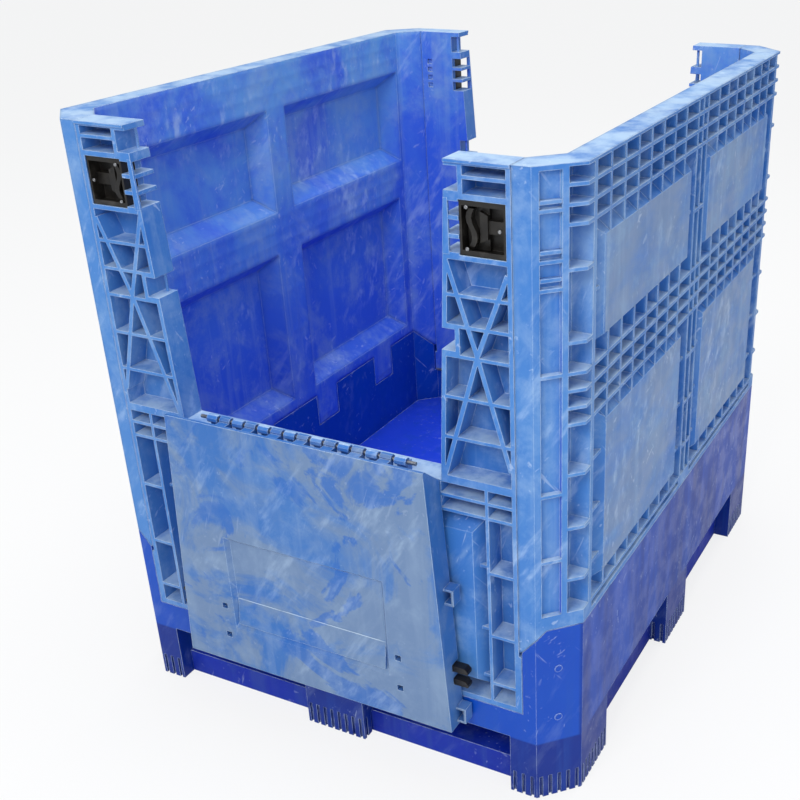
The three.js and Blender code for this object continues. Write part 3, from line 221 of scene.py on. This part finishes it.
class Nodes:
    """Short calls for building one material's node tree."""

    def __init__(self, name):
        self.material = bpy.data.materials.new(name)
        self.material.use_nodes = True
        self.tree = self.material.node_tree
        self.shader = self.tree.nodes["Principled BSDF"]
        own = self.make("ShaderNodeTexCoord").outputs
        self.place, self.facing = own["Object"], own["Normal"]

    def put(self, node, inputs):
        """Each input gets a link if it is given a socket, and a constant otherwise."""
        for key, value in inputs.items():
            if isinstance(value, bpy.types.NodeSocket):
                self.tree.links.new(value, node.inputs[key])
            else:
                node.inputs[key].default_value = value

    def make(self, kind, inputs=None, **settings):
        node = self.tree.nodes.new(kind)
        for key, value in settings.items():
            setattr(node, key, value)
        self.put(node, inputs or {})
        return node

    def surface(self, **inputs):
        """Feeds the surface: Base_Color stands for the input Base Color."""
        self.put(self.shader, {key.replace("_", " "): value for key, value in inputs.items()})

    def maths(self, kind, a, b=0.0):
        return self.make("ShaderNodeMath", {0: a, 1: b}, operation=kind).outputs[0]

    def times(self, *factors):
        whole = factors[0]
        for factor in factors[1:]:
            whole = self.maths("MULTIPLY", whole, factor)
        return whole

    def step(self, value, low, high, to_low=0.0, to_high=1.0):
        inputs = {"Value": value, "From Min": low, "From Max": high, "To Min": to_low, "To Max": to_high}
        node = self.make("ShaderNodeMapRange", inputs, interpolation_type="SMOOTHSTEP")
        return node.outputs["Result"]

    def below(self, value, low, high):
        return self.step(value, low, high, 1.0, 0.0)

    def mix(self, factor, first, second, kind="MIX"):
        inputs = {"Factor": factor, "A": first, "B": second}
        return self.make("ShaderNodeMix", inputs, data_type="RGBA", blend_type=kind).outputs["Result"]

    def parts(self, vector):
        return self.make("ShaderNodeSeparateXYZ", {0: vector}).outputs

    def noise(self, scale, detail=4.0, rough=0.55, squash=(1, 1, 1), low=0.35, high=0.65, distort=0.0):
        """Noise from 0 at its level low to 1 at its level high."""
        squashed = self.make("ShaderNodeMapping", {"Vector": self.place, "Scale": squash})
        inputs = {"Vector": squashed.outputs[0], "Scale": scale, "Detail": detail, "Roughness": rough}
        node = self.make("ShaderNodeTexNoise", {**inputs, "Distortion": distort})
        return self.step(node.outputs["Fac"], low, high)

    def drawn(self, turn, scale, length, low, high, detail=3.0):
        """Noise drawn out along a direction, for scratches and rubbed marks."""
        inputs = {"Vector": self.place, "Rotation": turn, "Scale": (length, 1, 1)}
        along = self.make("ShaderNodeMapping", inputs, vector_type="TEXTURE")
        inputs = {"Vector": along.outputs[0], "Scale": scale, "Detail": detail, "Roughness": 0.6}
        return self.step(self.make("ShaderNodeTexNoise", inputs).outputs["Fac"], low, high)

    def scratches(self):
        """Fine straight lines in three directions, in patches."""
        lines = [self.drawn(turn, scale, 26.0, 0.66, 0.7) for turn, scale in SCRATCHES]
        whole = self.maths("MAXIMUM", self.maths("MAXIMUM", lines[0], lines[1]), lines[2])
        return self.times(whole, self.noise(7.0, 4, low=0.44, high=0.6))

    def edge(self, radius, samples=4):
        """1 along sharp edges, 0 on flats, and the normal rounded over that radius."""
        rounded = self.make("ShaderNodeBevel", {"Radius": radius}, samples=samples).outputs[0]
        flat = self.make("ShaderNodeNewGeometry").outputs["True Normal"]
        dot = self.make("ShaderNodeVectorMath", {0: rounded, 1: flat}, operation="DOT_PRODUCT")
        return self.below(dot.outputs["Value"], 0.8, 0.985), rounded

    def hollow(self, distance):
        """1 deep in corners and pockets."""
        inputs = {"Distance": distance}
        node = self.make("ShaderNodeAmbientOcclusion", inputs, samples=4, only_local=True)
        return self.below(node.outputs["AO"], 0.25, 0.95)

    def bump(self, height, strength, distance, normal):
        inputs = {"Height": height, "Strength": strength, "Distance": distance, "Normal": normal}
        return self.make("ShaderNodeBump", inputs).outputs[0]


def moulded(name, main, worn, dusty, chalk=0.35, streaks=0.4, hollow_shade=0.35, face=None, rough=0.44,
            lines=0.3, fillet=None, haze=HAZE):
    """Scuffed moulded plastic, with painted shade in its corners and pockets and painted highlights on
    its worn edges. face(n) lists a (mask, colour) for each place with its own tone.

    chalk, streaks, lines and haze are the strengths of the cloudy, falling, scratched and rubbed
    scuffing; the painted shade in corners and pockets has a strength of its own.
    """
    n = Nodes(name)
    colour = n.mix(n.noise(3.1, 5, low=0.3, high=0.7), main, worn)
    for mask, tone in (face(n) if face else []):
        colour = n.mix(mask, colour, tone)
    clouds = n.times(n.noise(9.0, 8, 0.7, low=0.48, high=0.68), chalk)
    smears = n.maths("MAXIMUM", n.drawn(RUBBED[0], 15.0, 5.0, 0.52, 0.74, 6),
                     n.drawn(RUBBED[1], 22.0, 6.0, 0.56, 0.76, 6))
    clouds = n.maths("MAXIMUM", clouds, n.times(smears, chalk * 0.9))
    colour = n.mix(clouds, colour, dusty)
    falling = n.times(n.noise(26.0, 4, 0.6, (1, 1, 0.06), 0.5, 0.66), streaks)
    colour = n.mix(falling, colour, dusty)
    marks = n.times(n.scratches(), lines)
    colour = n.mix(marks, colour, SCRATCH_TONE)
    veil = n.times(n.drawn(RUBBED[1], 38.0, 7.0, 0.5, 0.72, 5), n.noise(5.0, 4, low=0.42, high=0.6))
    colour = n.mix(n.times(veil, haze), colour, VEIL_TONE)
    edge, rounded = n.edge(EDGE_RADIUS)
    # Pale edges in patches: wear, and a painted highlight.
    edge_wear_and_highlight = n.times(edge, n.noise(40.0, 4, low=0.2, high=0.55))
    colour = n.mix(n.times(edge_wear_and_highlight, EDGE_WEAR_AND_HIGHLIGHT), colour, EDGE_WEAR_HIGHLIGHT_TONE)
    if fillet:
        rounded = n.edge(fillet(n), 6)[1]
    # Painted shade: corners and pockets are darkened by a tint.
    deep = n.times(n.hollow(HOLLOW_REACH), hollow_shade)
    colour = n.mix(deep, colour, n.mix(1.0, colour, HOLLOW_SHADE_TINT, "MULTIPLY"))
    sheen = n.step(n.noise(18.0, 5), 0, 1, rough - 0.07, rough + 0.08)
    waves = n.bump(n.noise(6.0, 2, low=0.2, high=0.8), 0.12, 0.004, rounded)
    dents = n.bump(n.maths("SUBTRACT", 1.0, marks), 0.25, 0.0005, waves)
    grain = n.bump(n.noise(420.0, 3, low=0.2, high=0.8), 0.12, 0.0004, dents)
    n.surface(Base_Color=colour, Roughness=n.maths("ADD", n.times(clouds, 0.3), sheen),
              Specular_IOR_Level=MOULDED_SPECULAR, Normal=grain)
    return n.material


# Masks use the object's own place and normal, so that the tones stay put when a body moves.


def outward(n, axis):
    """1 on faces that look away from the container's middle along this axis, -1 on inner faces."""
    return n.times(n.parts(n.facing)[axis], n.maths("SIGN", n.parts(n.place)[axis]))


def inner_side(n, axis):
    """The sheltered inner side: royal blue low down, hazed with scuffs towards the top."""
    height = n.parts(n.place)[2]
    cloudy = n.noise(4.0, 7, 0.65, low=0.34, high=0.62, distort=0.5)
    haze = n.times(n.step(height, *HAZE_HEIGHTS), cloudy)
    tone = n.mix(haze, INNER_TONE, INNER_HAZE_TONE)
    return n.below(outward(n, axis), *INWARD), tone


def highlit_dusty_tops(n):
    """Faces that look up are painted pale as a highlight from above, in dusty patches."""
    up = n.step(n.parts(n.facing)[2], *UPWARD)
    return n.times(up, n.noise(14.0, 6, 0.65, low=0.3, high=0.62)), TOP_HIGHLIGHT_TONE


def end_faces(n):
    return [highlit_dusty_tops(n), inner_side(n, 1)]


def side_faces(n):
    """As the end wall, and its outer pads are worn grey."""
    x, y, z = n.parts(n.place)
    top = n.times(n.step(n.maths("ABSOLUTE", x), *PAD_X), n.step(outward(n, 0), *OUTERMOST))
    away = n.maths("ABSOLUTE", y)
    long = n.times(n.step(away, *PAD_AWAY[0]), n.below(away, *PAD_AWAY[1]))
    upper, lower = (n.times(n.step(z, *bottom), n.below(z, *height)) for bottom, height in PAD_ROWS)
    pad = n.times(top, long, n.maths("MAXIMUM", upper, lower))
    scuffed = n.times(pad, n.noise(7.0, 6, 0.65, (1, 0.6, 1.4), 0.3, 0.62))
    return [highlit_dusty_tops(n), inner_side(n, 0), (scuffed, PAD_TONE)]


def pad_fillet(n):
    """The formed pads are well rounded on the inner side."""
    return n.step(outward(n, 0), -0.1, 0.1, PAD_FILLET, EDGE_RADIUS)


def base_faces(n):
    """Long sides darkened with painted shade in streaks, a clean floor inside, and painted shade over
    the bottom strip with the feet.
    """
    x, _, z = n.parts(n.place)
    streaked = n.noise(17.0, 5, 0.6, (1, 1, 0.12), 0.3, 0.7)
    # Painted shade on the long sides, in vertical streaks.
    shaded_flank = n.times(n.step(n.maths("ABSOLUTE", x), *FLANK_X), streaked, 0.75)
    off_floor = n.maths("ABSOLUTE", n.maths("SUBTRACT", z, FLOOR_TOP))
    floor = n.times(n.step(n.parts(n.facing)[2], *FLOORWARD), n.below(off_floor, 0.001, 0.003))
    # Painted shade over everything below the band's top, feet included.
    shaded_band = n.below(z, BAND_TOP - 0.004, BAND_TOP + 0.001)
    return [(shaded_flank, FLANK_SHADE_TONE), (floor, FLOOR_TONE), (shaded_band, BAND_SHADE_TONE)]


def door_faces(n):
    """The smooth side, outermost while the door hangs, is rubbed grey, with the blue left in patches."""
    shown = n.step(outward(n, 1), *SHOWN)
    rubbed = n.noise(3.4, 8, 0.66, (1, 1, 1), 0.38, 0.52, 1.1)
    patch = n.times(n.noise(4.2, 7, 0.62, (1, 1, 1.1), 0.55, 0.6, 1.6), 0.75)
    return [(n.times(shown, rubbed), DOOR_GREY), (n.times(shown, patch), DOOR_BLUE)]


def black_moulded(name):
    """The latches' and catches' black plastic, a little dusty."""
    n = Nodes(name)
    colour = n.mix(n.noise(60.0, 5, low=0.35, high=0.7), srgb(14, 12, 11), srgb(29, 26, 22))
    edge, rounded = n.edge(0.0009)
    colour = n.mix(n.times(edge, 0.25), colour, srgb(90, 83, 75))
    dust = n.times(n.noise(22.0, 6, 0.7, low=0.52, high=0.7), 0.16)
    colour = n.mix(dust, colour, srgb(120, 116, 111))
    sheen = n.step(n.noise(35.0, 4), 0, 1, 0.36, 0.55)
    grain = n.bump(n.noise(500.0, 3, low=0.2, high=0.8), 0.1, 0.0003, rounded)
    n.surface(Base_Color=colour, Roughness=sheen, Normal=grain)
    return n.material


def zinc(name):
    """Dull zinc plating on the hinge rods and screws."""
    n = Nodes(name)
    colour = n.mix(n.noise(90.0, 5, low=0.3, high=0.7), srgb(160, 163, 167), srgb(120, 120, 122))
    sheen = n.step(n.noise(140.0, 4), 0, 1, 0.3, 0.5)
    n.surface(Base_Color=colour, Metallic=0.9, Roughness=sheen)
    return n.material


def finishes():
    upper = (srgb(54, 113, 190), srgb(75, 131, 199), srgb(154, 184, 216))
    return {
        "base": moulded("base_blue", srgb(4, 66, 175), srgb(9, 75, 182), srgb(28, 79, 167), chalk=0.08,
                        streaks=0.25, face=base_faces, rough=0.38, lines=0.25, haze=0.08),
        "skid": moulded("skid_blue", srgb(13, 45, 167), srgb(11, 36, 146), srgb(51, 79, 160), rough=0.5,
                        lines=0.2, haze=0.05),
        "side": moulded("side_blue", *upper, chalk=0.38, streaks=0.18, hollow_shade=0.06, face=side_faces,
                        fillet=pad_fillet),
        "end": moulded("end_blue", *upper, chalk=0.38, streaks=0.2, hollow_shade=0.06, face=end_faces),
        "door": moulded("door_blue", srgb(50, 105, 177), srgb(62, 114, 182), srgb(146, 169, 195),
                        chalk=0.34, streaks=0.15, face=door_faces, rough=0.4, lines=0.1, haze=0.2),
        "black": black_moulded("latch_black"),
        "steel": zinc("steel_rod"),
    }


def dress_frame(finish):
    for name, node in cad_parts.items():
        if "rod" in name:
            key = "steel"
        elif "latch" in name or "catch" in name:
            key = "black"
        elif name.startswith("side_wall"):
            key = "side"
        elif name.endswith("_door"):
            key = "door"
        elif name.endswith("_wall"):
            key = "end"
        else:
            key = "skid" if name == "skid_frame" else "base"
        for slot in node.material_slots:
            slot.material = finish[key]


# Small pieces that only the look needs


def put_piece(name, mesh, material, body, smooth=True):
    piece = bpy.data.objects.new(name, mesh)
    mesh.materials.append(material)
    bpy.context.collection.objects.link(piece)
    for polygon in mesh.polygons:
        polygon.use_smooth = smooth
    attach(piece, body)


def as_mesh(name, shape):
    mesh = bpy.data.meshes.new(name)
    shape.to_mesh(mesh)
    shape.free()
    return mesh


def ring(shape, radii, height):
    """Corners round a circle at this height, one for each radius."""
    turn = 2 * math.pi / len(radii)
    corners = ((r * math.cos(turn * k), r * math.sin(turn * k), height) for k, r in enumerate(radii))
    return [shape.verts.new(corner) for corner in corners]


def skirt(shape, lower, upper):
    """Faces between two rings. A ring of one corner is a point."""
    count = max(len(lower), len(upper))
    for k in range(count):
        after = (k + 1) % count
        below, above = ([loop[at % len(loop)] for at in (k, after)] for loop in (lower, upper))
        shape.faces.new(list(dict.fromkeys(below + above[::-1])))


def lathe(name, profile, around=28):
    """A closed turned shape about +Z, from (radius, height) points that start and end on the axis."""
    shape = bmesh.new()
    rings = [ring(shape, [radius] * (around if radius else 1), height) for radius, height in profile]
    for lower, upper in zip(rings, rings[1:]):
        skirt(shape, lower, upper)
    bmesh.ops.recalc_face_normals(shape, faces=shape.faces)
    return as_mesh(name, shape)


def prism(name, near, far):
    """A flat-faced shape between two outlines with the same number of corners."""
    shape = bmesh.new()
    near, far = ([shape.verts.new(corner) for corner in outline] for outline in (near, far))
    skirt(shape, near, far)
    shape.faces.new(near)
    shape.faces.new(far)
    bmesh.ops.recalc_face_normals(shape, faces=shape.faces)
    return as_mesh(name, shape)


def screw_mesh(name, radius=0.0032, height=0.0018, cross=0.0009, around=24):
    """A domed head with a cross recess, standing on z = 0."""
    shape = bmesh.new()
    dome = ((1, 0), (1, 0.35), (0.86, 0.75), (0.55, 1))
    rings = [ring(shape, [radius * wide] * around, height * high) for wide, high in dome]
    for lower, upper in zip(rings, rings[1:]):
        skirt(shape, lower, upper)
    quarter = around // 4
    arm, hub = radius * 0.5, radius * 0.3
    arms = []
    for k in range(around):
        angle = 2 * math.pi * k / around
        waist = min(cross / max(abs(math.sin(angle)), abs(math.cos(angle))), hub)
        arms.append(arm if k % quarter in (0, 1, quarter - 1) else waist)
    mouth = ring(shape, arms, height)
    floor = ring(shape, [reach * 0.8 for reach in arms], height * 0.35)
    skirt(shape, rings[-1], mouth)
    skirt(shape, mouth, floor)
    shape.faces.new(floor)
    shape.faces.new(list(reversed(rings[0])))
    return as_mesh(name, shape)


def latch_screws(finish):
    """Three screws in each wall latch's tray."""
    for end, side in ENDS:
        for hand, way in (("right", 1), ("left", -1)):
            low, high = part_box(f"{end}_latch_tray_{hand}")
            face = low[1] if side < 0 else high[1]
            for number, (x, z) in enumerate(SCREW_PLACES):
                mesh = screw_mesh(f"{end}_{hand}_screw_{number}")
                turn = Matrix.Rotation(math.radians(-90 * side), 4, "X")
                spin = Matrix.Rotation(random.uniform(0, math.pi), 4, "Z")
                mesh.transform(Matrix.Translation((way * x, face, z)) @ turn @ spin)
                put_piece(f"{end}_latch_screw_{hand}_{number}", mesh, finish["steel"], f"{end}_wall")


def bevelled_corners():
    """Each corner's name, signs, and directions outward and along its bevel."""
    for sx, hand in ((-1, "left"), (1, "right")):
        for end, sy in ENDS:
            outward_way, along = (Vector((sx, y, 0)).normalized() for y in (sy, -sy))
            yield f"{hand}_{end}", sx, sy, outward_way, along


def bevel_dimples(finish):
    """Two moulded dimples, one above the other, on each corner of the base."""
    rim, dish = DIMPLE_RIM, DIMPLE_DISH
    profile = ((0, -0.001), (rim, -0.001), (rim, 0.0004), (rim - 0.0012, 0.0009), (dish, 0.0006),
               (dish * 0.8, 0.0002), (0, 0.0001))
    inset = DIMPLE_IN / math.sqrt(2)
    for corner, sx, sy, outward_way, _ in bevelled_corners():
        x, y = sx * (BEVEL_START + inset), sy * (WALL_FACE_Y - inset)
        turn = outward_way.to_track_quat("Z", "X").to_matrix().to_4x4()
        for number, height in enumerate(DIMPLE_HEIGHTS):
            mesh = lathe("dimple", profile)
            mesh.transform(Matrix.Translation((x, y, height)) @ turn)
            put_piece(f"base_dimple_{corner}_{number}", mesh, finish["base"], "container")


def bevel_ribs(finish):
    """The second rib of each pair in the recess down the side wall's bevel."""
    (start, end), (face, floor) = PAIR_RUN, PAIR_SINK
    for corner, sx, sy, outward_way, along in bevelled_corners():
        origin = Vector((sx * BEVEL_START, sy * WALL_FACE_Y, 0))
        plan = [origin + along * run - outward_way * sink
                for run, sink in ((start, face), (end, face), (end, floor), (start, floor))]
        for number, height in enumerate(PAIR_HEIGHTS):
            levels = (height - PAIR_HALF, height + PAIR_HALF)
            mesh = prism("bevel_rib", *([(at.x, at.y, z) for at in plan] for z in levels))
            put_piece(f"bevel_rib_{corner}_{number}", mesh, finish["side"], "container", smooth=False)


def comb_strips(finish):
    """A thin strip over the ends of each latch pocket's comb, in front of the door catch's prongs."""
    low, high = COMB_HEIGHTS
    outline = ((COMB_EDGE[0], low), (COMB_INNER, low), (COMB_INNER, high), (COMB_EDGE[1], high))
    for end, sy in ENDS:
        for hand, sx in (("right", 1), ("left", -1)):
            mesh = prism("comb_strip", *([(sx * x, sy * y, z) for x, z in outline] for y in COMB_FACES))
            put_piece(f"{end}_comb_strip_{hand}", mesh, finish["end"], f"{end}_wall", smooth=False)


def door_ledges(finish):
    """The broad slope along the hanging door's lower side of its shallow panel."""
    for end, sy in ENDS:
        ends = ([(x, sy * y, z) for y, z in LEDGE_SLOPE] for x in (-LEDGE_HALF, LEDGE_HALF))
        mesh = prism("door_ledge", *ends)
        put_piece(f"{end}_door_ledge", mesh, finish["door"], f"{end}_door", smooth=False)


def main():
    make_camera()
    make_studio()
    finish = finishes()
    dress_frame(finish)
    latch_screws(finish)
    bevel_dimples(finish)
    bevel_ribs(finish)
    comb_strips(finish)
    door_ledges(finish)


main()
